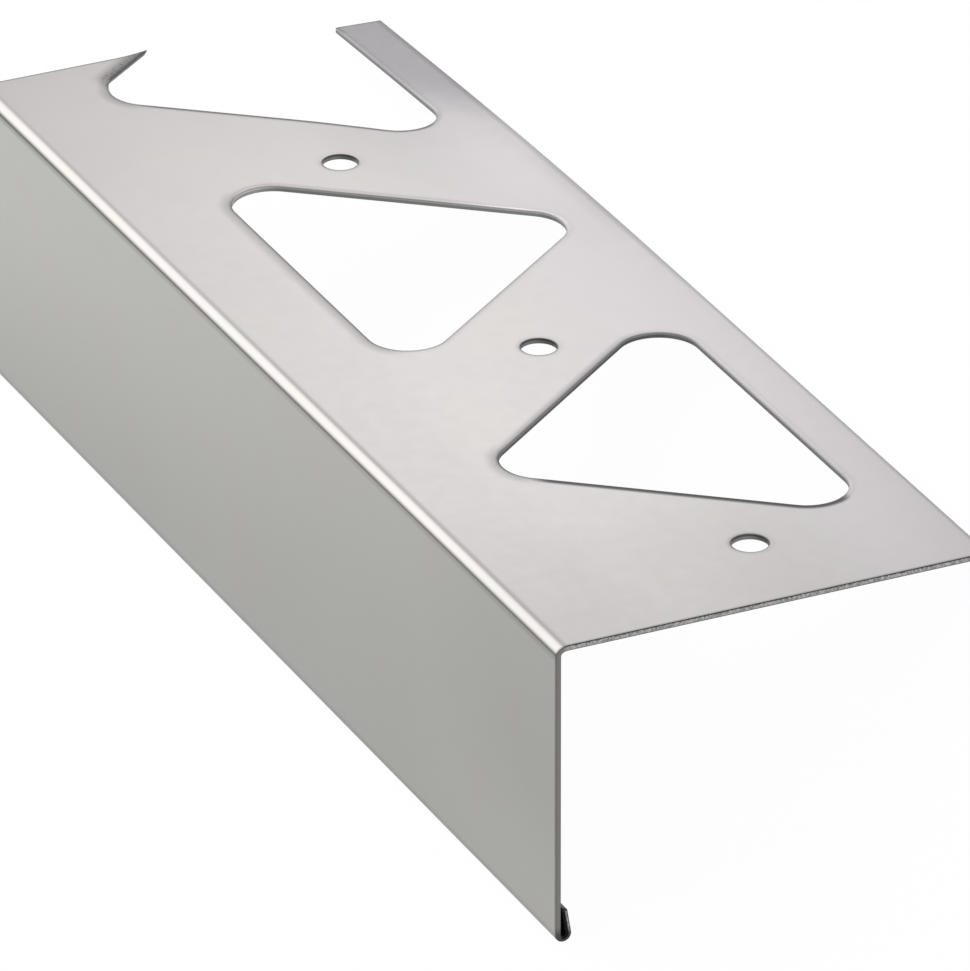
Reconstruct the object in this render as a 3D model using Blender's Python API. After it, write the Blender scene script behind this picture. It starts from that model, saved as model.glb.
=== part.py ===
# Edge profile bent from one stainless steel sheet: a flat leg with punched openings,
# a tight fold, a plain apron and a hem folded back along the bottom of the apron.
# Lengths are in metres. The section is drawn the way the profile is laid, leg level
# and apron hanging. At the end the piece is leaned over to the way it stands unheld
# on a floor, on its hem and the back edge of its leg.

import math

import bmesh
import bpy
from mathutils import Matrix, Vector

# The sheet and its section
piece_length = 0.2390
leg_width = 0.0793
apron_height = 0.0550
sheet = 0.0010
fold_inside_radius = 0.0010
hem_inside_radius = 0.00045
hem_height = 0.0065
lip_clearance = 0.00008
lip_slant = 0.0008

# Punching of the leg, measured from the end nearest to the viewer
end_to_first_hole = 0.0200
punch_pitch = 0.0812
opening_offset = 0.0022
hole_diameter = 0.0060
front_strip = 0.0203
back_strip = 0.0091
opening_corner_radius = 0.0072
opening_base_angle = math.radians(51.9)

# The narrow strip behind the cut-open far opening is bent down a little
strip_bend_angle = math.radians(3.1)
strip_bend_line_angle = math.radians(50.0)
strip_bend_from_end = 0.1770
strip_bend_ease = 0.0340

# How finely curves and the bent strip are divided
fold_steps = 10
hem_steps = 18
corner_steps = 12
hole_steps = 40
strip_stations = 36
strip_lines = 9

# Sizes that follow from the ones above
fold_outside_radius = fold_inside_radius + sheet
hem_outside_radius = hem_inside_radius + sheet
hem_centre_y = hem_outside_radius
hem_centre_z = hem_outside_radius - apron_height
near_end = piece_length / 2
far_end = -piece_length / 2
opening_front = front_strip
opening_back = leg_width - back_strip
hole_line = (opening_front + opening_back) / 2
hole_to_opening = punch_pitch / 2 + opening_offset
fold_centre = Vector((fold_outside_radius, -fold_outside_radius))
hem_centre = Vector((hem_centre_y, hem_centre_z))
bend_start_x = near_end - strip_bend_from_end


def arc(centre, radius, start, end, steps):
    """Points of an arc from one angle to the other, both ends included."""
    points = []
    for i in range(steps + 1):
        angle = start + (end - start) * i / steps
        direction = Vector((math.cos(angle), math.sin(angle)))
        points.append(centre + radius * direction)
    return points


def lip_shape():
    """Tilt of the hem's lip and its straight length, so its edge meets the apron."""
    rise = hem_height - hem_outside_radius
    tilt = 0.0
    run = rise
    for _ in range(40):
        run = (rise - hem_inside_radius * math.sin(tilt)) / math.cos(tilt)
        inward = hem_inside_radius * (1 + math.cos(tilt)) - lip_clearance
        tilt = math.asin(inward / run)
    return tilt, run


def leg_line(z, outward):
    """Points along the leg's face, closer together where the strip is bent."""
    reach = leg_width - hole_line
    ys = [hole_line + reach * i / strip_lines for i in range(strip_lines + 1)]
    if not outward:
        ys.reverse()
    return [Vector((y, z)) for y in ys]


def section():
    """The closed outline of the bent sheet, as (y, z) points."""
    quarter = math.pi / 2
    tilt, run = lip_shape()
    along_lip = Vector((-math.sin(tilt), math.cos(tilt)))
    across_lip = Vector((math.cos(tilt), math.sin(tilt)))
    lip_outside = hem_centre + hem_outside_radius * across_lip
    lip_inside = hem_centre + hem_inside_radius * across_lip
    hem_end = 4 * quarter + tilt

    points = leg_line(0.0, False)
    points += arc(fold_centre, fold_outside_radius, quarter, 2 * quarter, fold_steps)
    points += arc(hem_centre, hem_outside_radius, 2 * quarter, hem_end, hem_steps)
    points.append(lip_outside + (run - lip_slant) * along_lip)
    points.append(lip_inside + run * along_lip)
    points += arc(hem_centre, hem_inside_radius, hem_end, 2 * quarter, hem_steps)
    points += arc(fold_centre, fold_inside_radius, 2 * quarter, quarter, fold_steps)
    points += leg_line(-sheet, True)
    return points


def stations():
    """Places along the length where the section is repeated."""
    reach = near_end - end_to_first_hole - punch_pitch - far_end
    xs = [far_end + reach * i / strip_stations for i in range(strip_stations + 1)]
    xs.append(near_end)
    return xs


def new_object(name, bm):
    """Turns a bmesh into a named object with its faces looking outward."""
    bmesh.ops.recalc_face_normals(bm, faces=bm.faces)
    mesh = bpy.data.meshes.new(name)
    bm.to_mesh(mesh)
    bm.free()
    made = bpy.data.objects.new(name, mesh)
    bpy.context.collection.objects.link(made)
    return made


def bent_sheet():
    """The unpunched profile: the section carried along the length."""
    bm = bmesh.new()
    outline = section()
    rings = []
    for x in stations():
        rings.append([bm.verts.new((x, p.x, p.y)) for p in outline])
    count = len(outline)
    for here, there in zip(rings, rings[1:]):
        for i in range(count):
            j = (i + 1) % count
            bm.faces.new((here[i], here[j], there[j], there[i]))
    bm.faces.new(rings[0])
    bm.faces.new(rings[-1])
    return new_object("sheet_blank", bm)


def opening_outline(middle_x, toward_apron):
    """Rounded triangle seen from above; its tip points to the apron or away from it."""
    half_tip = math.pi / 2 - opening_base_angle
    tip_cut = opening_corner_radius * (1 / math.sin(half_tip) - 1)
    height = opening_back - opening_front + tip_cut
    half_base = height / math.tan(opening_base_angle)
    half_base_inset = half_base - opening_corner_radius / math.tan(opening_base_angle / 2)
    tip_inset = height - opening_corner_radius / math.sin(half_tip)

    right = Vector((half_base_inset, opening_corner_radius))
    tip = Vector((0.0, tip_inset))
    left = Vector((-half_base_inset, opening_corner_radius))
    quarter = math.pi / 2
    points = arc(right, opening_corner_radius, -quarter, half_tip, corner_steps)
    points += arc(tip, opening_corner_radius, half_tip, 2 * quarter - half_tip, corner_steps)
    points += arc(left, opening_corner_radius, 2 * quarter - half_tip, 3 * quarter, corner_steps)
    if toward_apron:
        return [Vector((middle_x - p.x, opening_back - p.y)) for p in points]
    return [Vector((middle_x + p.x, opening_front + p.y)) for p in points]


def punch(name, outline):
    """An upright cutter through the leg with the given outline."""
    bm = bmesh.new()
    low = [bm.verts.new((p.x, p.y, -2 * sheet)) for p in outline]
    high = [bm.verts.new((p.x, p.y, sheet)) for p in outline]
    count = len(outline)
    for i in range(count):
        j = (i + 1) % count
        bm.faces.new((low[i], low[j], high[j], high[i]))
    bm.faces.new(low)
    bm.faces.new(high)
    made = new_object(name, bm)
    made.hide_render = True
    made.display_type = "WIRE"
    return made


def punches():
    """All cutters of the leg: round holes and triangles that point in turn."""
    made = []
    hole_x = near_end - end_to_first_hole
    index = 0
    while hole_x > far_end + hole_diameter:
        round_outline = arc(
            Vector((hole_x, hole_line)), hole_diameter / 2, 0.0, 2 * math.pi, hole_steps
        )
        made.append(punch(f"hole_punch_{index}", round_outline[:-1]))
        toward_apron = index % 2 == 0
        outline = opening_outline(hole_x - hole_to_opening, toward_apron)
        made.append(punch(f"opening_punch_{index}", outline))
        hole_x -= punch_pitch
        index += 1
    return made


def strip_drop(x, y):
    """How far the sheet is bent down at a place of the leg."""
    depth = (y - hole_line) / (opening_back - hole_line)
    depth = min(max(depth, 0.0), 1.0)
    given_way_share = depth * depth * (3 - 2 * depth)
    across = (bend_start_x - x) * math.sin(strip_bend_line_angle)
    back = (y - opening_back) * math.cos(strip_bend_line_angle)
    beyond = across + back
    if beyond < -strip_bend_ease:
        return 0.0
    if beyond < strip_bend_ease:
        beyond = (beyond + strip_bend_ease) ** 2 / (4 * strip_bend_ease)
    return beyond * math.tan(strip_bend_angle) * given_way_share


def standing_angle():
    """Lean that brings the hem and the lowest corner of the leg onto one level."""
    corner_drop = sheet + strip_drop(far_end, leg_width)
    reach = leg_width - hem_centre_y
    fall = -hem_centre_z - corner_drop
    return math.atan2(fall, reach) + math.asin(hem_outside_radius / math.hypot(fall, reach))


def punched_mesh(blank, cutters):
    """Takes every cutter out of the blank and returns the resulting mesh."""
    for cutter in cutters:
        step = blank.modifiers.new(cutter.name, "BOOLEAN")
        step.operation = "DIFFERENCE"
        step.solver = "EXACT"
        step.object = cutter
    bpy.context.view_layer.update()
    graph = bpy.context.evaluated_depsgraph_get()
    return bpy.data.meshes.new_from_object(blank.evaluated_get(graph))


def steel():
    """Satin stainless steel, slightly warm light grey."""
    material = bpy.data.materials.new("satin_stainless_steel")
    material.use_nodes = True
    shader = material.node_tree.nodes["Principled BSDF"]
    shader.inputs["Base Color"].default_value = (0.60, 0.59, 0.57, 1.0)
    shader.inputs["Roughness"].default_value = 0.38
    shader.inputs["Metallic"].default_value = 1.0
    return material


def build():
    for old in list(bpy.data.objects):
        bpy.data.objects.remove(old, do_unlink=True)

    blank = bent_sheet()
    cutters = punches()
    mesh = punched_mesh(blank, cutters)
    for used in [blank] + cutters:
        bpy.data.objects.remove(used, do_unlink=True)

    bm = bmesh.new()
    bm.from_mesh(mesh)
    bpy.data.meshes.remove(mesh)
    bmesh.ops.triangulate(bm, faces=bm.faces)
    for vert in bm.verts:
        vert.co.z -= strip_drop(vert.co.x, vert.co.y)
    bmesh.ops.rotate(bm, verts=bm.verts, matrix=Matrix.Rotation(-standing_angle(), 3, "X"))
    lowest = min(vert.co.z for vert in bm.verts)
    front = min(vert.co.y for vert in bm.verts)
    rear = max(vert.co.y for vert in bm.verts)
    bmesh.ops.translate(bm, verts=bm.verts, vec=(0.0, -(front + rear) / 2, -lowest))

    profile = new_object("edge_profile", bm)
    profile.data.shade_smooth()
    profile.data.set_sharp_from_angle(angle=math.radians(30.0))
    profile.data.materials.append(steel())
    return profile


build()
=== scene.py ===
"""Balcony edge profile: one stainless steel sheet, punched, folded and hemmed.

The sheet is modelled the way it is laid, leg level and apron hanging, and is leaned
over at the end to the way it stands unheld. Lengths are in metres.
"""

import math

import bmesh
import bpy
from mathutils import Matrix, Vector

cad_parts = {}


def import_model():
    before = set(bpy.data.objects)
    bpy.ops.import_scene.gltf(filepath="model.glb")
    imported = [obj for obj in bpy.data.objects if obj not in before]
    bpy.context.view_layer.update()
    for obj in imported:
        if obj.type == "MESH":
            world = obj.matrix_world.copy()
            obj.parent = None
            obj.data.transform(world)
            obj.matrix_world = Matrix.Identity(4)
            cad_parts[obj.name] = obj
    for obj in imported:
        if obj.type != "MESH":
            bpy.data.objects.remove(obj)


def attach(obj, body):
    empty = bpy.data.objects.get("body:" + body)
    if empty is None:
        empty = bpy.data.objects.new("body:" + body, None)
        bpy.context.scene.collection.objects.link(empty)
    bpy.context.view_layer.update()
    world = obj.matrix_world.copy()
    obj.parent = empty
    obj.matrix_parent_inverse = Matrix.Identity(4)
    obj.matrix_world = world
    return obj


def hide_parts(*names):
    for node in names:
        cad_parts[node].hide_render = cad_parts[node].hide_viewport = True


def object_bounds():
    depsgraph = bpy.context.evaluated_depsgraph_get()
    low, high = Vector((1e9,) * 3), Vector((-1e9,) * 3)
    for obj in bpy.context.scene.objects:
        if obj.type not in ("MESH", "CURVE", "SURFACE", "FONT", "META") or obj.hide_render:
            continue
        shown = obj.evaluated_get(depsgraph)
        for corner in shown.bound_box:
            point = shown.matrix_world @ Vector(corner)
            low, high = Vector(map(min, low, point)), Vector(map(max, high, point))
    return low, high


MM = 0.001

# Sheet and section, the same sizes as the part's source
PIECE_LENGTH = 0.2390
LEG_WIDTH = 0.0793
APRON_HEIGHT = 0.0550
SHEET = 0.0010
FOLD_INSIDE_RADIUS = 0.0010
HEM_INSIDE_RADIUS = 0.00045
HEM_HEIGHT = 0.0065
LIP_CLEARANCE = 0.00008
LIP_SLANT = 0.0008

# Punching of the leg
END_TO_FIRST_HOLE = 0.0200
PUNCH_PITCH = 0.0812
OPENING_OFFSET = 0.0022
HOLE_DIAMETER = 0.0060
FRONT_STRIP = 0.0203
BACK_STRIP = 0.0091
CORNER_RADIUS = 0.0072
BASE_ANGLE = math.radians(51.9)

# Bend of the narrow strip behind the far opening
BEND_ANGLE = math.radians(3.1)
BEND_LINE_ANGLE = math.radians(50.0)
BEND_FROM_END = 0.1770
BEND_EASE = 0.0340

# Sizes that follow
FOLD_RADIUS = FOLD_INSIDE_RADIUS + SHEET
HEM_RADIUS = HEM_INSIDE_RADIUS + SHEET
HEM_CENTRE = Vector((0.0, HEM_RADIUS, HEM_RADIUS - APRON_HEIGHT))
FOLD_CENTRE = Vector((0.0, FOLD_RADIUS, -FOLD_RADIUS))
NEAR_END = PIECE_LENGTH / 2
FAR_END = -PIECE_LENGTH / 2
OPENING_FRONT = FRONT_STRIP
OPENING_BACK = LEG_WIDTH - BACK_STRIP
HOLE_LINE = (OPENING_FRONT + OPENING_BACK) / 2
HOLE_TO_OPENING = PUNCH_PITCH / 2 + OPENING_OFFSET
BEND_START_X = NEAR_END - BEND_FROM_END

# The fold starts gently on the leg's side and ends tighter on the apron's side
FOLD_EASE = 0.25
FOLD_TIGHTENING = 0.12
FOLD_START = FOLD_RADIUS * (1 + FOLD_EASE)

# The sheet tore a little wider than the punch toward its lower face
TEAR = 0.00010
HOLE_TEAR = 0.00020

# Finish of the edges
ROLLOVER_WIDTH = 0.00090
ROLLOVER_DEPTH_SHARE = 0.13
DEBURR = 0.00012
SMOOTH_ANGLE = math.radians(35)

# Painted shade along the upper edge of each opening, from the near end on: all
# round it, toward the apron, on the side nearer to the near end, and at the back
RIM_PAINTED_SHADES = (0.22, 0.0, 0.15)
FRONT_PAINTED_SHADES = (0.60, 0.28, 0.18)
NEAR_SIDE_PAINTED_SHADES = (1.0, 0.10, 0.70)
BACK_PAINTED_SHADES = (0.09, 0.0, 0.22)
HOLE_PAINTED_SHADE = 0.75

# How much painted highlight lies on the rounded rim on the far side of each opening
FAR_SIDE_SHINE = (0.16, 0.40, 0.0)

# How much painted shade darkens the sheet beside each opening, which is also rougher there
RIM_HALOS = (0.36, 0.36, 0.40)
NEAR_SIDE_HALOS = (0.36, 0.08, 0.26)
FRONT_HALO = 0.8
HOLE_HALO = 0.12

# Where those painted shades, highlights and halos begin and where they are full, in
# millimetres from the edge; the near side's are full at a share of their reach
RIM_REACH = (0.62, 0.20)
NEAR_SIDE_REACH = (1.95, 1.10, 1.30)
NEAR_SIDE_FULL = 0.45
BACK_REACH = (1.2, 0.3)
HOLE_REACH = (0.52, 0.18)
SHINE_REACH = (0.95, 0.30)
HALO_REACH = (1.9, 0.0)
FRONT_HALO_REACH = (3.0, 0.2)
HOLE_HALO_REACH = (1.7, 0.1)

# The pointed remnant beside the far opening is curled up along the opening
CURL_REACH = 0.0042
CURL_RISE = 0.00050
CURL_FADE = 0.0075
CURL_TEAR = 0.65
REMNANT_LENGTH = 0.0160
REMNANT_REACH = 0.0400

# How finely curves, the bent strip and the curled remnant are divided
FOLD_STEPS = 20
HEM_STEPS = 36
POST_SIDES = 96
ROLLOVER_STEPS = 10
DEBURR_STEPS = 3
STRIP_COLUMNS = 30
STRIP_ROWS = 10
STRIP_RUN_IN = 0.0450
CURL_STEPS = 10
CURL_STATIONS = 14
CURL_STATION_GAP = 0.0010
LIP_ROUNDS = 40

# How faces and edges are told apart: the upward share of the normal of a punched
# wall and of a level face, and the least angle in radians across a border
WALL_UP = 0.3
LEVEL_UP = 0.9
BORDER_ANGLE = 0.5
STRAIGHT = math.radians(0.5)
UNPUNCHED_END = 0.0050
PICK_RADIUS = 0.00006
WELD = 4e-6
TINY = 1e-6


# ---------------------------------------------------------------- modelling helpers


def pick_only(piece):
    """Deselects everything else and makes the piece active."""
    bpy.ops.object.select_all(action="DESELECT")
    piece.select_set(True)
    bpy.context.view_layer.objects.active = piece


def edit(piece, kind="EDGE"):
    """Opens the piece in edit mode with nothing selected."""
    pick_only(piece)
    bpy.ops.object.mode_set(mode="EDIT")
    bpy.ops.mesh.select_mode(type=kind)
    bpy.ops.mesh.select_all(action="DESELECT")


def done():
    """Leaves edit mode."""
    bpy.ops.object.mode_set(mode="OBJECT")


def select_where(piece, kind, wanted):
    """Selects the vertices, edges or faces for which wanted(item) holds."""
    bpy.ops.mesh.select_mode(type=kind)
    bpy.ops.mesh.select_all(action="DESELECT")
    mesh = bmesh.from_edit_mesh(piece.data)
    items = {"VERT": mesh.verts, "EDGE": mesh.edges, "FACE": mesh.faces}[kind]
    for item in items:
        if wanted(item):
            item.select_set(True)
    mesh.select_flush_mode()
    bmesh.update_edit_mesh(piece.data)


def apply_step(piece, kind, **settings):
    """Adds a modifier, sets it and applies it."""
    pick_only(piece)
    step = piece.modifiers.new(kind.lower(), kind)
    for name, value in settings.items():
        setattr(step, name, value)
    bpy.ops.object.modifier_apply(modifier=step.name)


# ---------------------------------------------------------------- the sheet


def lip_shape():
    """Tilt of the hem's lip and its straight length, so its edge meets the apron."""
    rise = HEM_HEIGHT - HEM_RADIUS
    tilt = 0.0
    run = rise
    for _ in range(LIP_ROUNDS):
        run = (rise - HEM_INSIDE_RADIUS * math.sin(tilt)) / math.cos(tilt)
        inward = HEM_INSIDE_RADIUS * (1 + math.cos(tilt)) - LIP_CLEARANCE
        tilt = math.asin(inward / run)
    return tilt, run


def bend_profile():
    """The unpunched profile: leg, fold, apron, hem and lip of one sheet."""
    tilt, run = lip_shape()
    along_lip = Vector((0.0, -math.sin(tilt), math.cos(tilt)))

    leg_middle = (FOLD_RADIUS + LEG_WIDTH) / 2
    bpy.ops.mesh.primitive_plane_add(size=1, location=(0, leg_middle, 0))
    sheet = bpy.context.object
    sheet.name = "edge_profile_sheet"
    sheet.scale = (PIECE_LENGTH, LEG_WIDTH - FOLD_RADIUS, 1)
    bpy.ops.object.transform_apply(location=True, rotation=True, scale=True)

    edit(sheet)
    select_where(sheet, "EDGE", lambda e: all(v.co.y < FOLD_RADIUS + TINY for v in e.verts))
    bpy.ops.mesh.spin(
        steps=FOLD_STEPS, angle=-math.pi / 2, center=FOLD_CENTRE, axis=(1, 0, 0)
    )
    apron_drop = APRON_HEIGHT - FOLD_RADIUS - HEM_RADIUS
    bpy.ops.mesh.extrude_region_move(TRANSFORM_OT_translate={"value": (0, 0, -apron_drop)})
    bpy.ops.mesh.spin(
        steps=HEM_STEPS, angle=-math.pi - tilt, center=HEM_CENTRE, axis=(1, 0, 0)
    )
    lip_length = (run - LIP_SLANT) * along_lip
    bpy.ops.mesh.extrude_region_move(TRANSFORM_OT_translate={"value": lip_length})
    bpy.ops.mesh.select_all(action="SELECT")
    bpy.ops.mesh.remove_doubles(threshold=TINY)
    mesh = bmesh.from_edit_mesh(sheet.data)
    for vert in mesh.verts:
        if vert.co.y < FOLD_RADIUS + TINY and vert.co.z > -FOLD_RADIUS - TINY:
            vert.co.y *= 1 + FOLD_EASE * (vert.co.y / FOLD_RADIUS) ** 2
            vert.co.z *= 1 + FOLD_TIGHTENING * vert.co.z / FOLD_RADIUS
    bmesh.update_edit_mesh(sheet.data)
    bpy.ops.mesh.select_all(action="SELECT")
    bpy.ops.mesh.normals_make_consistent(inside=False)
    mesh = bmesh.from_edit_mesh(sheet.data)
    leg_face = max(mesh.faces, key=lambda f: f.calc_area() * (abs(f.normal.z) > LEVEL_UP))
    if leg_face.normal.z < 0:
        bpy.ops.mesh.flip_normals()
    done()

    apply_step(sheet, "SOLIDIFY", thickness=SHEET, offset=-1, use_even_offset=True)

    # the lip's inner corner reaches a little further than the outer one
    edit(sheet, "VERT")
    lip_end = HEM_CENTRE + HEM_INSIDE_RADIUS * Vector((0, math.cos(tilt), math.sin(tilt)))
    lip_end += (run - LIP_SLANT) * along_lip

    def at_lip_end(vert):
        return math.hypot(vert.co.y - lip_end.y, vert.co.z - lip_end.z) < PICK_RADIUS

    select_where(sheet, "VERT", at_lip_end)
    bpy.ops.transform.translate(value=LIP_SLANT * along_lip)
    done()
    return sheet


def opening_corners(middle_x, toward_apron):
    """Centres of the three rounded corners of an opening."""
    half_tip = math.pi / 2 - BASE_ANGLE
    tip_cut = CORNER_RADIUS * (1 / math.sin(half_tip) - 1)
    height = OPENING_BACK - OPENING_FRONT + tip_cut
    half_base = height / math.tan(BASE_ANGLE) - CORNER_RADIUS / math.tan(BASE_ANGLE / 2)
    tip_y = height - CORNER_RADIUS / math.sin(half_tip)
    corners = [(half_base, CORNER_RADIUS), (0.0, tip_y), (-half_base, CORNER_RADIUS)]
    if toward_apron:
        return [(middle_x - x, OPENING_BACK - y) for x, y in corners]
    return [(middle_x + x, OPENING_FRONT + y) for x, y in corners]


def hole_places():
    """Each round hole, the opening after it, and whether its tip points to the apron."""
    places = []
    hole_x = NEAR_END - END_TO_FIRST_HOLE
    index = 0
    while hole_x > FAR_END + HOLE_DIAMETER:
        places.append((hole_x, hole_x - HOLE_TO_OPENING, index % 2 == 0))
        hole_x -= PUNCH_PITCH
        index += 1
    return places


def punch_post(x, y, radius, tear):
    """A round post with the given radius at the sheet's upper face, wider below."""
    bpy.ops.mesh.primitive_cone_add(
        vertices=POST_SIDES,
        radius1=radius + 2 * tear,
        radius2=radius - 2 * tear,
        depth=4 * SHEET,
        location=(x, y, 0),
    )
    bpy.ops.object.transform_apply(location=True, rotation=True, scale=True)
    return bpy.context.object


def opening_punch(corners):
    """A punch with the opening's outline: three posts wrapped in one skin."""
    posts = [punch_post(x, y, CORNER_RADIUS, TEAR) for x, y in corners]
    bpy.ops.object.select_all(action="DESELECT")
    for post in posts:
        post.select_set(True)
    bpy.context.view_layer.objects.active = posts[0]
    bpy.ops.object.join()
    punch = bpy.context.object
    edit(punch, "VERT")
    bpy.ops.mesh.select_all(action="SELECT")
    bpy.ops.mesh.convex_hull()
    bpy.ops.mesh.select_all(action="SELECT")
    bpy.ops.mesh.dissolve_limited(angle_limit=STRAIGHT)
    done()
    return punch


def punch_leg(sheet):
    """Takes the round holes and the openings out of the leg."""
    for hole_x, opening_x, toward_apron in hole_places():
        round_punch = punch_post(hole_x, HOLE_LINE, HOLE_DIAMETER / 2, HOLE_TEAR)
        for punch in (round_punch, opening_punch(opening_corners(opening_x, toward_apron))):
            apply_step(sheet, "BOOLEAN", operation="DIFFERENCE", solver="EXACT", object=punch)
            bpy.data.objects.remove(punch, do_unlink=True)


def inside_leg(point):
    """True away from the leg's outer borders, but up to the open far end."""
    between_strips = FRONT_STRIP / 2 < point.y < LEG_WIDTH - BACK_STRIP / 2
    return between_strips and point.x < NEAR_END - UNPUNCHED_END


def is_rim(edge):
    """Upper edge of a punched wall."""
    if any(abs(v.co.z) > TINY or not inside_leg(v.co) for v in edge.verts):
        return False
    if len(edge.link_faces) != 2 or all(abs(v.co.x - FAR_END) < TINY for v in edge.verts):
        return False
    ups = sorted(abs(f.normal.z) for f in edge.link_faces)
    return ups[0] < WALL_UP and ups[1] > LEVEL_UP


def is_cut_border(edge):
    """Border of the sheet at either end of the piece or along the leg's back."""
    for place in (NEAR_END, FAR_END):
        if all(abs(v.co.x - place) < TINY for v in edge.verts):
            return edge.is_manifold and edge.calc_face_angle(0) > BORDER_ANGLE
    at_back = all(abs(v.co.y - LEG_WIDTH) < TINY for v in edge.verts)
    return at_back and edge.calc_face_angle(0) > BORDER_ANGLE


def round_selected(width, steps):
    """Rounds the selected edges."""
    bpy.ops.mesh.bevel(
        offset=width, segments=steps, profile=0.5, affect="EDGES", clamp_overlap=False
    )


def finish_edges(sheet):
    """Pressed-in rims round the openings and a light deburring of the cut ends."""
    edit(sheet)
    select_where(sheet, "EDGE", is_rim)
    round_selected(ROLLOVER_WIDTH, ROLLOVER_STEPS)
    low = -ROLLOVER_WIDTH - TINY
    select_where(
        sheet, "VERT", lambda v: v.co.y > FRONT_STRIP / 2 and low < v.co.z < -TINY
    )
    bpy.ops.transform.resize(
        value=(1, 1, ROLLOVER_DEPTH_SHARE), center_override=(0, HOLE_LINE, 0)
    )
    select_where(sheet, "EDGE", is_cut_border)
    round_selected(DEBURR, DEBURR_STEPS)
    done()


def strip_drop(x, y):
    """How far the sheet is bent down at a place of the leg."""
    depth = min(max((y - HOLE_LINE) / (OPENING_BACK - HOLE_LINE), 0.0), 1.0)
    given_way_share = depth * depth * (3 - 2 * depth)
    across = (BEND_START_X - x) * math.sin(BEND_LINE_ANGLE)
    beyond = across + (y - OPENING_BACK) * math.cos(BEND_LINE_ANGLE)
    if beyond < -BEND_EASE:
        return 0.0
    if beyond < BEND_EASE:
        beyond = (beyond + BEND_EASE) ** 2 / (4 * BEND_EASE)
    return beyond * math.tan(BEND_ANGLE) * given_way_share


def curl_edge():
    """Start and direction of the far opening's far edge, and the way out of the opening."""
    base, tip, _ = opening_corners(hole_places()[-1][1], True)
    run = Vector((base[0] - tip[0], base[1] - tip[1])).normalized()
    outward = Vector((-run.y, run.x))
    start = Vector(tip) + outward * CORNER_RADIUS
    return start, run, outward


def curl_share(x, y):
    """0 on the flat leg, up to 1 at the curled border of the pointed remnant."""
    start, run, outward = curl_edge()
    corner = start - outward * CORNER_RADIUS
    offset = Vector((x, y)) - corner
    along = offset.dot(run)
    if along < -CURL_FADE or offset.dot(outward) < 0 or y > HOLE_LINE:
        return 0.0
    across = offset - run * max(along, 0.0)
    share = min(max(1 - (across.length - CORNER_RADIUS) / CURL_REACH, 0.0), 1.0)
    fade = min((along + CURL_FADE) / CURL_FADE, 1.0)
    return share * fade * fade * (3 - 2 * fade)


def is_leg_face(face):
    """Face of the leg, clear of the fold."""
    return all(v.co.y > FOLD_START - TINY and v.co.z > -1.5 * SHEET for v in face.verts)


def is_remnant_face(face):
    """Face of the pointed remnant at the far end."""
    return all(
        v.co.x < FAR_END + REMNANT_LENGTH and FOLD_START < v.co.y < REMNANT_REACH
        for v in face.verts
    )


def cut_faces(sheet, wanted, place, normal):
    """Cuts the faces for which wanted(face) holds along an upright plane."""
    select_where(sheet, "FACE", wanted)
    bpy.ops.mesh.bisect(plane_co=(*place, 0), plane_no=(*normal, 0))


def divide_leg(sheet):
    """Cuts the far part of the leg into narrow fields, so that it can be bent."""
    edit(sheet, "FACE")
    first = BEND_START_X + STRIP_RUN_IN
    for i in range(STRIP_COLUMNS):
        x = first + (FAR_END - first) * i / STRIP_COLUMNS
        cut_faces(sheet, is_leg_face, (x, 0), (1, 0))
    for i in range(STRIP_ROWS):
        y = HOLE_LINE + (LEG_WIDTH - HOLE_LINE) * i / STRIP_ROWS
        cut_faces(sheet, is_leg_face, (0, y), (0, 1))
    start, run, outward = curl_edge()
    for i in range(CURL_STEPS):
        reach = ROLLOVER_WIDTH + (CURL_REACH - ROLLOVER_WIDTH) * (i + 1) / CURL_STEPS
        cut_faces(sheet, is_remnant_face, start + outward * reach, outward)
    for i in range(CURL_STATIONS):
        along = CURL_STATION_GAP * i - CURL_FADE
        cut_faces(sheet, is_remnant_face, start + run * along, run)
    bpy.ops.mesh.select_all(action="SELECT")
    bpy.ops.mesh.remove_doubles(threshold=WELD)
    bpy.ops.mesh.dissolve_degenerate(threshold=WELD)
    bpy.ops.mesh.select_all(action="DESELECT")
    done()


def depth_in_sheet(point):
    """How far below the sheet's outer skin a point of the laid profile is."""
    y, z = point.y, point.z
    if y > FOLD_START and z > -2 * SHEET:
        return -z
    if z > -FOLD_RADIUS:
        across = y / (1 + FOLD_EASE * min(y / FOLD_RADIUS, 1.0) ** 2)
        return FOLD_RADIUS - math.hypot(across - FOLD_RADIUS, z + FOLD_RADIUS)
    if z > HEM_CENTRE.z and y < SHEET + LIP_CLEARANCE / 2:
        return y
    if z > HEM_CENTRE.z:
        tilt, _ = lip_shape()
        across = (y - HEM_CENTRE.y) * math.cos(tilt) + (z - HEM_CENTRE.z) * math.sin(tilt)
        return HEM_RADIUS - across
    return HEM_RADIUS - math.hypot(y - HEM_CENTRE.y, z - HEM_CENTRE.z)


def remember_laid_place(sheet):
    """Keeps each point's place and depth in the laid sheet for the finish to follow."""
    depth = sheet.data.attributes.new("depth", "FLOAT", "POINT")
    depth.data.foreach_set("value", [depth_in_sheet(v.co) / MM for v in sheet.data.vertices])
    laid = sheet.data.attributes.new("laid", "FLOAT_VECTOR", "POINT")
    places = [0.0] * (3 * len(sheet.data.vertices))
    sheet.data.vertices.foreach_get("co", places)
    laid.data.foreach_set("vector", places)
    curl = sheet.data.attributes.new("curl", "FLOAT", "POINT")
    above = [v.co.z > -2 * SHEET and v.co.y > FOLD_START for v in sheet.data.vertices]
    shares = [curl_share(v.co.x, v.co.y) for v in sheet.data.vertices]
    curl.data.foreach_set("value", [s * a for s, a in zip(shares, above)])


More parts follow.
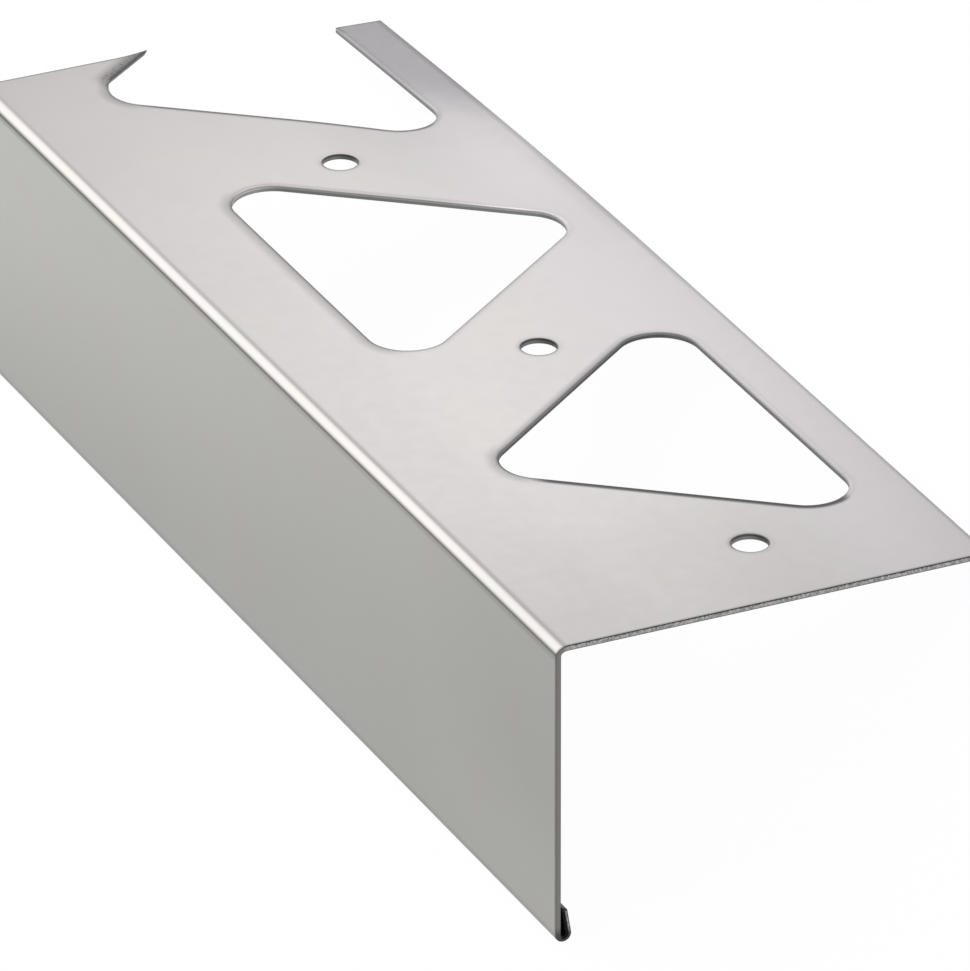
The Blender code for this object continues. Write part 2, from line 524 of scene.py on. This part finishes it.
def bend_strip(sheet):
    """Curls the remnant's edge up and bends the narrow strip down."""
    for vert in sheet.data.vertices:
        if vert.co.z > -2 * SHEET:
            share = curl_share(vert.co.x, vert.co.y)
            vert.co.y -= CURL_TEAR * share * max(-vert.co.z, 0.0)
            vert.co.z += CURL_RISE * share ** 2
        vert.co.z -= strip_drop(vert.co.x, vert.co.y)
    sheet.data.update()


def standing_angle():
    """Lean that brings the hem and the leg's lowest corner onto one level."""
    corner_drop = SHEET + strip_drop(FAR_END, LEG_WIDTH)
    reach = LEG_WIDTH - HEM_CENTRE.y
    fall = -HEM_CENTRE.z - corner_drop
    return math.atan2(fall, reach) + math.asin(HEM_RADIUS / math.hypot(fall, reach))


def stand_up(sheet, low, high):
    """Leans the profile over and sets it into the CAD model's place."""
    edit(sheet, "VERT")
    bpy.ops.mesh.select_all(action="SELECT")
    bpy.ops.transform.rotate(
        value=standing_angle(), orient_axis="X", center_override=(0, 0, 0)
    )
    done()
    ys = [v.co.y for v in sheet.data.vertices]
    zs = [v.co.z for v in sheet.data.vertices]
    move = Vector((0, (low.y + high.y) / 2 - (min(ys) + max(ys)) / 2, low.z - min(zs)))
    edit(sheet, "VERT")
    bpy.ops.mesh.select_all(action="SELECT")
    bpy.ops.transform.translate(value=move)
    done()


def smooth(sheet):
    """Smooth shading with crisp edges."""
    pick_only(sheet)
    bpy.ops.object.shade_smooth_by_angle(angle=SMOOTH_ANGLE)
    apply_step(sheet, "WEIGHTED_NORMAL", keep_sharp=True, weight=50)


# ---------------------------------------------------------------- finish


class Value:
    """One number in a node tree; sums on it add Math nodes."""

    def __init__(self, nodes, socket):
        self.nodes = nodes
        self.socket = socket

    def _math(self, operation, *values):
        return self.nodes.add(
            "ShaderNodeMath", {"operation": operation}, dict(enumerate(values))
        )

    def __add__(self, other):
        return self._math("ADD", self, other)

    __radd__ = __add__

    def __mul__(self, other):
        return self._math("MULTIPLY", self, other)

    __rmul__ = __mul__

    def __sub__(self, other):
        return self._math("SUBTRACT", self, other)

    def __rsub__(self, other):
        return self._math("SUBTRACT", other, self)

    def __truediv__(self, other):
        return self._math("DIVIDE", self, other)

    def __rpow__(self, other):
        return self._math("POWER", other, self)

    def __abs__(self):
        return self._math("ABSOLUTE", self)

    def lowest(self, other):
        """The smaller of the two."""
        return self._math("MINIMUM", self, other)

    def highest(self, other):
        """The larger of the two."""
        return self._math("MAXIMUM", self, other)

    def between(self, start, end):
        """0 at start, 1 at end, with a soft step between them."""
        return self.nodes.add(
            "ShaderNodeMapRange",
            {"interpolation_type": "SMOOTHSTEP"},
            {"Value": self, "From Min": start, "From Max": end, "To Min": 0.0, "To Max": 1.0},
        )


class Nodes:
    """Adds nodes to one node tree."""

    def __init__(self, tree):
        self.tree = tree

    def add(self, kind, settings=None, inputs=None, output=0):
        """A node with its settings set first, then its sockets' values or links."""
        node = self.tree.nodes.new(kind)
        for name, value in (settings or {}).items():
            setattr(node, name, value)
        for key, value in (inputs or {}).items():
            socket = self._socket(node.inputs, key)
            if isinstance(value, Value):
                self.tree.links.new(value.socket, socket)
            else:
                socket.default_value = value
        return Value(self, self._socket(node.outputs, output))

    def _socket(self, sockets, key):
        """A socket by its place, its identifier or its name."""
        if isinstance(key, int):
            return sockets[key]
        for socket in sockets:
            if socket.identifier == key:
                return socket
        return sockets[key]

    def vector(self, operation, *values, output=0):
        """Result of a Vector Math node; output 0 is the vector."""
        return self.add(
            "ShaderNodeVectorMath", {"operation": operation}, dict(enumerate(values)), output
        )

    def blend(self, factor, first, second):
        """Colour that goes from the first to the second."""
        return self.add(
            "ShaderNodeMix",
            {"data_type": "RGBA"},
            {"Factor_Float": factor, "A_Color": first, "B_Color": second},
            "Result_Color",
        )

    def noise(self, place, scale, detail=2.0, roughness=0.5, stretch=None):
        """Cloudy value about 0.5; stretch draws it out along the axes."""
        if stretch:
            place = self.vector("MULTIPLY", place, stretch)
        return self.add(
            "ShaderNodeTexNoise",
            {"noise_dimensions": "3D"},
            {"Vector": place, "Scale": scale, "Detail": detail, "Roughness": roughness},
            "Fac",
        )


def grey(value, tint=(1.0, 1.0, 1.0)):
    """A lightness from 0 to 1 as a colour, tinted a little."""
    return (value * tint[0], value * tint[1], value * tint[2], 1.0)


# Colours of the rolled skin; the pairs drift into each other
LEG_COLOURS = (grey(0.530, (1.0, 0.95, 0.955)), grey(0.530, (1.0, 0.965, 0.945)))
APRON_COLOURS = (grey(0.535, (1.0, 0.985, 0.93)), grey(0.535, (0.99, 1.0, 0.94)))
# painted reflection tints: the fold warmer and lighter, the leg's back lighter and more mauve,
# the bent strip more mauve
FOLD_COLOUR = grey(0.54, (1.0, 0.965, 0.93))
BACK_COLOUR = grey(0.552, (1.0, 0.952, 0.972))
BENT_COLOUR = grey(0.530, (1.0, 0.955, 1.01))

# Colours of the punched walls, cut above and torn below, each kind lighter or darker in painted
# light and shade
WALL_COLOURS = (grey(0.42), grey(0.20))
BACK_WALL_COLOURS = (grey(0.64), grey(0.40))
MIDDLE_WALL_COLOURS = (grey(0.92), grey(0.56))
HOLE_WALL_COLOURS = (grey(0.15), grey(0.36))
CURLED_WALL_COLOURS = (grey(0.10), grey(0.30))

# Colours of the sawn ends, core and skins, the apron's core dimmer in painted shade, and painted
# shade for the narrow gap inside the hem
LEG_CORE_COLOUR = grey(0.72, (1.0, 0.96, 0.95))
APRON_CORE_COLOUR = grey(0.33, (1.0, 0.975, 0.93))
CORE_PIT_COLOUR = grey(0.34)
LEG_SKIN_COLOUR = grey(0.10)
APRON_SKIN_COLOUR = grey(0.27, (1.0, 0.975, 0.93))
HEM_PAINTED_SHADE = grey(0.05)
LIP_PAINTED_SHADE = grey(0.02)


def opening_distance(nodes, flat, corners):
    """Distance on the leg from one opening's edge, in millimetres."""
    nearest = None
    for start, end in zip(corners, corners[1:] + corners[:1]):
        run = (end[0] - start[0], end[1] - start[1], 0.0)
        square = run[0] ** 2 + run[1] ** 2
        offset = nodes.vector("SUBTRACT", flat, (start[0], start[1], 0.0))
        share = nodes.vector("DOT_PRODUCT", offset, run, output="Value") / square
        share = share.highest(0.0).lowest(1.0)
        along = nodes.add(
            "ShaderNodeVectorMath", {"operation": "SCALE"}, {0: run, "Scale": share}
        )
        gap = nodes.vector("DISTANCE", offset, along, output="Value")
        nearest = gap if nearest is None else nearest.lowest(gap)
    return (nearest - CORNER_RADIUS) / MM


class LaidPlace:
    """Where a shaded point lies on the laid sheet, as node values in metres."""

    def __init__(self, nodes):
        self.point = nodes.add(
            "ShaderNodeAttribute", {"attribute_name": "laid"}, output="Vector"
        )
        parts = nodes.tree.nodes.new("ShaderNodeSeparateXYZ")
        nodes.tree.links.new(self.point.socket, parts.inputs[0])
        x, y, z = (Value(nodes, parts.outputs[i]) for i in range(3))
        self.x, self.y, self.z = x, y, z
        self.flat = nodes.vector("MULTIPLY", self.point, (1.0, 1.0, 0.0))
        # millimetres below the outer skin, and 0 to 1 toward the curled edge
        self.depth = nodes.add("ShaderNodeAttribute", {"attribute_name": "depth"}, output="Fac")
        self.curl = nodes.add("ShaderNodeAttribute", {"attribute_name": "curl"}, output="Fac")
        # shares from 0 to 1: on the leg, at its back, before the bend and beyond it
        self.on_leg = y.between(FOLD_RADIUS * 0.6, FOLD_RADIUS * 1.2)
        self.at_back = y.between(HOLE_LINE, OPENING_BACK)
        beyond = (BEND_START_X - x) * math.sin(BEND_LINE_ANGLE)
        beyond = beyond + (y - OPENING_BACK) * math.cos(BEND_LINE_ANGLE)
        self.level = beyond.between(-BEND_EASE, 4 * MM) * self.at_back
        self.bent = beyond.between(10 * MM, 29 * MM) * self.at_back


def punched_rims(nodes, at):
    """Distance from the nearest punched edge, its painted shade and halo, and where round holes
    are.
    """
    nearest = painted_rim_shade = halo = at_hole = None
    back = at.y.between(HOLE_LINE + 8 * MM, OPENING_BACK - 2 * MM)
    front = at.y.between(OPENING_FRONT + 4 * MM, OPENING_FRONT)
    inner = at.y.between(OPENING_FRONT + 1 * MM, OPENING_FRONT + 5 * MM)
    inner = inner * at.y.between(OPENING_BACK - 1.5 * MM, OPENING_BACK - 4.0 * MM)
    for index, (hole_x, opening_x, toward_apron) in enumerate(hole_places()):
        gap = opening_distance(nodes, at.flat, opening_corners(opening_x, toward_apron))
        centre = (hole_x, HOLE_LINE, 0.0)
        hole_gap = nodes.vector("DISTANCE", at.flat, centre, output="Value")
        hole_gap = (hole_gap - HOLE_DIAMETER / 2) / MM
        near_side = at.x.between(opening_x + 2 * MM, opening_x + 8 * MM) * inner
        far_side = at.x.between(opening_x - 2 * MM, opening_x - 8 * MM) * inner

        # the halo is weaker at the back, stronger at the front, and has its own
        # strength on the near side
        wide, wide_near = RIM_HALOS[index], NEAR_SIDE_HALOS[index]
        soft = gap.between(*HALO_REACH) * (1.0 - back * 0.7) * (1.0 + front * 0.25)
        soft = soft.highest(gap.between(*FRONT_HALO_REACH) * front * FRONT_HALO)
        soft = soft * (wide - near_side * (wide - wide_near))
        soft = soft.highest(hole_gap.between(*HOLE_HALO_REACH) * HOLE_HALO)

        on_rim = gap.between(*RIM_REACH)
        reach = NEAR_SIDE_REACH[index]
        on_near_rim = gap.between(reach, reach * NEAR_SIDE_FULL) * near_side
        # painted shade along this opening's rim and round its hole, less a painted highlight on
        # its far side
        here = on_rim * RIM_PAINTED_SHADES[index]
        here = here.highest(on_rim * front * FRONT_PAINTED_SHADES[index])
        here = here.highest(on_near_rim * NEAR_SIDE_PAINTED_SHADES[index])
        here = here.highest(gap.between(*BACK_REACH) * back * BACK_PAINTED_SHADES[index])
        here = here.highest(hole_gap.between(*HOLE_REACH) * HOLE_PAINTED_SHADE)
        here = here - gap.between(*SHINE_REACH) * far_side * FAR_SIDE_SHINE[index]

        both = gap.lowest(hole_gap)
        close = hole_gap.between(1.0, 0.5)
        if nearest is None:
            nearest, painted_rim_shade, halo, at_hole = both, here, soft, close
        else:
            nearest, painted_rim_shade, halo = nearest.lowest(both), painted_rim_shade + here, halo.highest(soft)
            at_hole = at_hole.highest(close)
    return nearest, painted_rim_shade * at.on_leg, halo * at.on_leg, at_hole


def skin_colour(nodes, at):
    """Warm grey of the rolled skin, before anything shades it."""
    hue = nodes.noise(nodes.vector("ADD", at.point, (3.1, 0.7, 1.9)), 60.0)
    drift = hue.between(0.35, 0.65)
    colour = nodes.blend(
        at.on_leg, nodes.blend(drift, *APRON_COLOURS), nodes.blend(drift, *LEG_COLOURS)
    )
    # painted reflection tints on the fold, the leg's back and the bent strip
    on_fold = at.z.between(-1.6 * MM, -1.0 * MM) * at.z.between(-0.05 * MM, -0.2 * MM)
    on_fold = on_fold * at.y.between(2 * FOLD_START, FOLD_START)
    colour = nodes.blend(on_fold, colour, FOLD_COLOUR)
    colour = nodes.blend(at.at_back, colour, BACK_COLOUR)
    return nodes.blend(at.bent, colour, BENT_COLOUR)


def skin_shades(nodes, at):
    """Shares by which places of the skin are darker, or lighter where negative; most are painted
    shade and painted light.
    """
    x, y, z = at.x, at.y, at.z
    bottom = -APRON_HEIGHT
    near = x.between(60 * MM, 110 * MM)
    low_apron = z.between(-25 * MM, -50 * MM)
    front = y.between(25 * MM, 12 * MM) * x.between(-60 * MM, 0.0)
    below_fold = z.between(-3.0 * MM, -1.9 * MM) * z.between(-0.7 * MM, -1.3 * MM)
    specks = nodes.noise(at.point, 1900.0, 1.0) - 0.5
    back_border = y.between(LEG_WIDTH - 1.70 * MM, LEG_WIDTH - 0.25 * MM)
    narrow_border = y.between(LEG_WIDTH - 1.05 * MM, LEG_WIDTH - 0.20 * MM)
    back_border = back_border - (back_border - narrow_border) * x.between(-8 * MM, 16 * MM)
    back_band = y.between(LEG_WIDTH - 5.0 * MM, LEG_WIDTH - 0.8 * MM)
    return (
        # painted shade beyond the bend and painted light before it
        at.bent * 0.32 - at.level * 0.27,
        # painted shade on the leg's near end in front of the holes, a little painted light
        # behind them
        near * y.between(OPENING_BACK, HOLE_LINE) * at.on_leg * 0.09,
        near * y.between(HOLE_LINE, OPENING_BACK) * -0.01,
        # painted shade on the leg beside the fold
        front * at.on_leg * 0.035,
        # painted shade on the apron's near end at the top, painted light at its bottom
        near * (1.0 - at.on_leg) * (0.045 - low_apron * 0.10),
        # painted shade in a line under the fold, stronger toward the far end
        below_fold * (0.20 + x.between(0.0, FAR_END) * 0.14),
        # painted shade along the curled edge of the pointed remnant, first speckled, then dark
        at.curl.between(0.25, 0.60) * (0.24 + specks * 1.1),
        at.curl.between(0.78, 0.92) * 0.62,
        # painted shade at the apron's foot, on the hem's curve
        z.between(bottom + 1.25 * MM, bottom + 0.3 * MM) * 0.36,
        z.between(bottom + 2.3 * MM, bottom + 1.2 * MM) * 0.19,
        # the borders at the far end, at both ends and along the back
        x.between(FAR_END + 0.55 * MM, FAR_END + 0.15 * MM) * 0.40,
        abs(x).between(NEAR_END - 0.70 * MM, NEAR_END - 0.15 * MM) * 0.35,
        back_border * 0.30,
        back_band * abs(x + 35 * MM).between(26 * MM, 7 * MM) * 0.10,
    )


def wall_colour(nodes, at, at_hole):
    """Punched walls: cut smooth by the punch above, torn below, with painted light and shade per
    wall.
    """
    torn = at.depth.between(0.35, 0.45)
    middle_x = hole_places()[1][1]
    at_middle = abs(at.x - middle_x).between(42 * MM, 39 * MM)
    colour = nodes.blend(torn, *WALL_COLOURS)
    for share, colours in (
        (at.y.between(OPENING_BACK - 4 * MM, OPENING_BACK - 1.5 * MM), BACK_WALL_COLOURS),
        (at_middle, MIDDLE_WALL_COLOURS),
        (at_hole, HOLE_WALL_COLOURS),
        (at.curl.between(0.1, 0.6), CURLED_WALL_COLOURS),
    ):
        colour = nodes.blend(share, colour, nodes.blend(torn, *colours))
    return colour


def sawn_colour(nodes, at):
    """Sawn ends: a rough bright core between dark skins, the apron's dimmer in painted shade,
    and painted shade inside the hem.
    """
    cut = nodes.noise(at.point, 2500.0, 2.0, 0.6)
    core = abs(at.depth - 0.52 + (cut - 0.5) * 0.3).between(0.39, 0.25)
    core_colour = nodes.blend(at.on_leg, APRON_CORE_COLOUR, LEG_CORE_COLOUR)
    pits = cut.between(0.62, 0.36) * at.on_leg
    core_colour = nodes.blend(pits, core_colour, CORE_PIT_COLOUR)
    rind_colour = nodes.blend(at.on_leg, APRON_SKIN_COLOUR, LEG_SKIN_COLOUR)
    colour = nodes.blend(core, rind_colour, core_colour)
    # painted shade inside the hem: at its foot, and on the lip in the narrow gap
    hem_foot = at.z.between(3.2 * MM - APRON_HEIGHT, 1.0 * MM - APRON_HEIGHT)
    on_lip = at.y.between(1.0 * SHEET, 1.25 * SHEET) * at.y.between(2 * FOLD_START, FOLD_START)
    on_lip = on_lip * at.z.between(-APRON_HEIGHT / 2, HEM_HEIGHT - APRON_HEIGHT)
    colour = nodes.blend(hem_foot * 0.75, colour, HEM_PAINTED_SHADE)
    return nodes.blend(on_lip * at.depth.between(0.30, 0.60), colour, LIP_PAINTED_SHADE)


def lip_end(at):
    """1 on the lip's upper end near the near end of the piece, which gets painted shade."""
    lip_top = HEM_HEIGHT - APRON_HEIGHT
    share = at.y.between(1.03 * SHEET, 1.06 * SHEET) * at.y.between(2 * FOLD_START, FOLD_START)
    share = share * at.z.between(lip_top - 0.85 * MM, lip_top - 0.65 * MM)
    share = share * at.z.between(-APRON_HEIGHT / 2, lip_top + 0.5 * MM)
    return share * at.x.between(NEAR_END - 9 * MM, NEAR_END - 3 * MM)


def satin_steel():
    """Satin stainless steel sheet, its punched rims, cut faces and fold, with painted light and
    shade in its colour.
    """
    material = bpy.data.materials.new("satin_stainless_steel")
    material.use_nodes = True
    tree = material.node_tree
    nodes = Nodes(tree)
    shader = tree.nodes["Principled BSDF"]

    at = LaidPlace(nodes)
    rim, painted_rim_shade, halo, at_hole = punched_rims(nodes, at)
    clouds = nodes.noise(at.point, 24.0, 2.0, 0.55) - 0.5
    patches = nodes.noise(at.point, 320.0) - 0.5
    drawn = nodes.noise(at.point, 900.0, 3.0, 0.6, (0.03, 1.0, 1.0)) - 0.5
    grain = nodes.noise(at.point, 4200.0, 1.0) - 0.5

    tone = 1.0 + clouds * 0.10 + patches * 0.035 + grain * 0.015
    # the colour darkened or lightened by painted shade and light: the skin's, the halos and the
    # rims'
    for shade in (*skin_shades(nodes, at), halo, painted_rim_shade * 0.85):
        tone = tone * (1.0 - shade)
    colour = nodes.add(
        "ShaderNodeVectorMath",
        {"operation": "SCALE"},
        {0: skin_colour(nodes, at), "Scale": tone},
    )

    # punched walls, below the rolled-over rim and no farther out than the tear
    wall = at.depth.between(0.12, 0.16) * at.on_leg
    wall = wall * rim.between(HOLE_TEAR / MM + 0.06, HOLE_TEAR / MM + 0.03)
    colour = nodes.blend(wall, colour, wall_colour(nodes, at, at_hole))

    # sawn ends and back edge
    sawn = abs(at.x).between(NEAR_END - 0.10 * MM, NEAR_END - 0.04 * MM)
    sawn = sawn.highest(at.y.between(LEG_WIDTH - 0.10 * MM, LEG_WIDTH - 0.04 * MM))
    colour = nodes.blend(sawn, colour, sawn_colour(nodes, at))
    # painted shade on the lip's upper end, in the hem's gap
    colour = nodes.blend(lip_end(at), colour, HEM_PAINTED_SHADE)

    rough = 0.25 + clouds * 0.05 + patches * 0.05 + halo * 0.15 + wall * 0.2 + sawn * 0.16
    height = drawn * 0.4 + grain * 0.6
    bump = nodes.add(
        "ShaderNodeBump", {}, {"Strength": 0.06, "Distance": 0.00002, "Height": height}, "Normal"
    )
    tree.links.new(colour.socket, shader.inputs["Base Color"])
    tree.links.new(rough.socket, shader.inputs["Roughness"])
    tree.links.new(bump.socket, shader.inputs["Normal"])
    shader.inputs["Metallic"].default_value = 1.0
    return material


# ---------------------------------------------------------------- studio

# The table top: where it is brightest, how far out it falls off, and the place
# whose reflection lights the apron's far end
FLOOR_MIDDLE = (-0.12, -0.12, 0.0)
FLOOR_FADE = (0.62, 0.33)
FLOOR_FAR_END = (-0.42, -0.25, 0.0)
FLOOR_FAR_FADE = (0.40, 0.05)

# The surroundings, and brighter fields in them: direction, inner and outer angle in
# degrees, added strength
SKY = 0.40
SKY_FIELDS = (
    ((-0.80, -0.12, 0.60), 14, 36, 1.38),
    ((0.0, 0.0, 1.0), 20, 80, 0.15),
    ((-0.806, 0.42, 0.42), 2, 19, 0.34),
)

# The glow of a card falls off like a bell, as wide as the card's named half sizes
CARD_REACH = 3
BELL_BASE = 2.718

# The camera that took the photograph
PHOTO_WIDTH = 970
CAMERA_LENS = 458.98
CAMERA_PLACE = (1.72903, -0.14552, 1.25487)
CAMERA_TURN = (47.2642, 29.9604, 60.4485)


def pale_floor():
    """A white table top that falls off to grey away from the object."""
    bpy.ops.mesh.primitive_plane_add(size=12, location=(0, 0, 0))
    floor = bpy.context.object
    floor.name = "floor"
    material = bpy.data.materials.new("pale_floor")
    material.use_nodes = True
    tree = material.node_tree
    tree.nodes.clear()
    nodes = Nodes(tree)
    place = nodes.add("ShaderNodeTexCoord", output="Object")
    away = nodes.vector("DISTANCE", place, FLOOR_MIDDLE, output="Value")
    near = away.between(*FLOOR_FADE)
    path = tree.nodes.new("ShaderNodeLightPath")
    by_camera = Value(nodes, path.outputs["Is Camera Ray"])
    by_gloss = Value(nodes, path.outputs["Is Glossy Ray"])
    by_gloss = by_gloss.highest(Value(nodes, path.outputs["Is Transmission Ray"]))
    share = by_camera * 0.97 + by_gloss * 0.6
    paint = nodes.blend(near, grey(0.30), grey(0.86))
    diffuse = nodes.add("ShaderNodeBsdfDiffuse", {}, {"Color": paint})
    far_end = nodes.vector("DISTANCE", place, FLOOR_FAR_END, output="Value")
    dulled = 0.32 - far_end.between(*FLOOR_FAR_FADE) * 0.56
    sheen = 1.0 + by_camera * 0.006 - by_gloss * dulled
    strength = (near * 0.7 + 0.3) * sheen
    glow = nodes.add("ShaderNodeEmission", {}, {"Color": grey(1.0), "Strength": strength})
    mix = nodes.add("ShaderNodeMixShader", {}, {0: share, 1: diffuse, 2: glow})
    out = tree.nodes.new("ShaderNodeOutputMaterial")
    tree.links.new(mix.socket, out.inputs["Surface"])
    floor.data.materials.append(material)


def studio_world():
    """Soft grey surroundings, brighter overhead and above the back of the table."""
    world = bpy.data.worlds.new("studio")
    bpy.context.scene.world = world
    world.use_nodes = True
    tree = world.node_tree
    tree.nodes.clear()
    nodes = Nodes(tree)
    way = nodes.add("ShaderNodeTexCoord", output="Generated")

    light = SKY
    for direction, inner, outer, strength in SKY_FIELDS:
        towards = tuple(Vector(direction).normalized())
        near = nodes.vector("DOT_PRODUCT", way, towards, output="Value")
        edges = (math.cos(math.radians(angle)) for angle in (outer, inner))
        light = light + near.between(*edges) * strength
    background = nodes.add("ShaderNodeBackground", {}, {"Color": grey(1.0), "Strength": light})
    out = tree.nodes.new("ShaderNodeOutputWorld")
    tree.links.new(background.socket, out.inputs["Surface"])


def glow_card(name, middle, target, half_width, half_height, strength):
    """A soft-edged bright card that only shows as a reflection in the steel."""
    bpy.ops.mesh.primitive_plane_add(size=2)
    card = bpy.context.object
    card.name = name
    card.location = middle
    card.rotation_euler = (Vector(target) - Vector(middle)).to_track_quat("Z", "Y").to_euler()
    card.scale = (CARD_REACH * half_width, CARD_REACH * half_height, 1)
    material = bpy.data.materials.new(name)
    material.use_nodes = True
    tree = material.node_tree
    tree.nodes.clear()
    nodes = Nodes(tree)
    place = nodes.add("ShaderNodeTexCoord", output="Object")
    away = nodes.vector("DOT_PRODUCT", place, place, output="Value")
    bell = BELL_BASE ** (away * (-(CARD_REACH**2) / 2))
    clear = nodes.add("ShaderNodeBsdfTransparent")
    glow = nodes.add("ShaderNodeEmission", {}, {"Color": grey(1.0), "Strength": bell * strength})
    both = nodes.add("ShaderNodeAddShader", {}, {0: clear, 1: glow})
    out = tree.nodes.new("ShaderNodeOutputMaterial")
    tree.links.new(both.socket, out.inputs["Surface"])
    card.data.materials.append(material)
    card.visible_camera = False
    card.visible_diffuse = False
    card.visible_shadow = False
    card.visible_transmission = False


def soft_lamp(name, place, target, size, power):
    """A square lamp that isn't itself reflected in the steel."""
    data = bpy.data.lights.new(name, "AREA")
    data.shape = "SQUARE"
    data.size = size
    data.energy = power
    lamp = bpy.data.objects.new(name, data)
    bpy.context.collection.objects.link(lamp)
    lamp.location = place
    lamp.rotation_euler = (Vector(target) - Vector(place)).to_track_quat("-Z", "Y").to_euler()
    lamp.visible_glossy = False


def photo_camera():
    """Camera that sees the piece the way the photograph does."""
    data = bpy.data.cameras.new("photo_camera")
    data.sensor_width = 36.0
    data.lens = CAMERA_LENS
    data.shift_x = -0.5 / PHOTO_WIDTH
    data.shift_y = 0.5 / PHOTO_WIDTH
    data.clip_end = 100.0
    camera = bpy.data.objects.new("photo_camera", data)
    bpy.context.collection.objects.link(camera)
    camera.location = CAMERA_PLACE
    camera.rotation_euler = [math.radians(angle) for angle in CAMERA_TURN]
    bpy.context.scene.camera = camera


def main():
    """Builds the sheet in the CAD model's place, then the studio round it."""
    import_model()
    cad_low, cad_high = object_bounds()
    bpy.ops.object.select_all(action="DESELECT")

    sheet = bend_profile()
    punch_leg(sheet)
    finish_edges(sheet)
    divide_leg(sheet)
    remember_laid_place(sheet)
    bend_strip(sheet)
    stand_up(sheet, cad_low, cad_high)
    smooth(sheet)
    sheet.data.materials.clear()
    sheet.data.materials.append(satin_steel())
    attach(sheet, "root")
    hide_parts("edge_profile")

    pale_floor()
    studio_world()
    glow_card(
        "back_card",
        middle=(-0.484, 0.378, 0.150),
        target=(-0.01, 0.02, 0.03),
        half_width=0.111,
        half_height=0.061,
        strength=1.43,
    )
    soft_lamp(
        "key_lamp", place=(-0.65, 0.05, 0.75), target=(-0.5, -0.05, 0), size=0.5, power=3.0
    )
    photo_camera()
    bpy.context.scene.view_settings.view_transform = "Standard"


main()
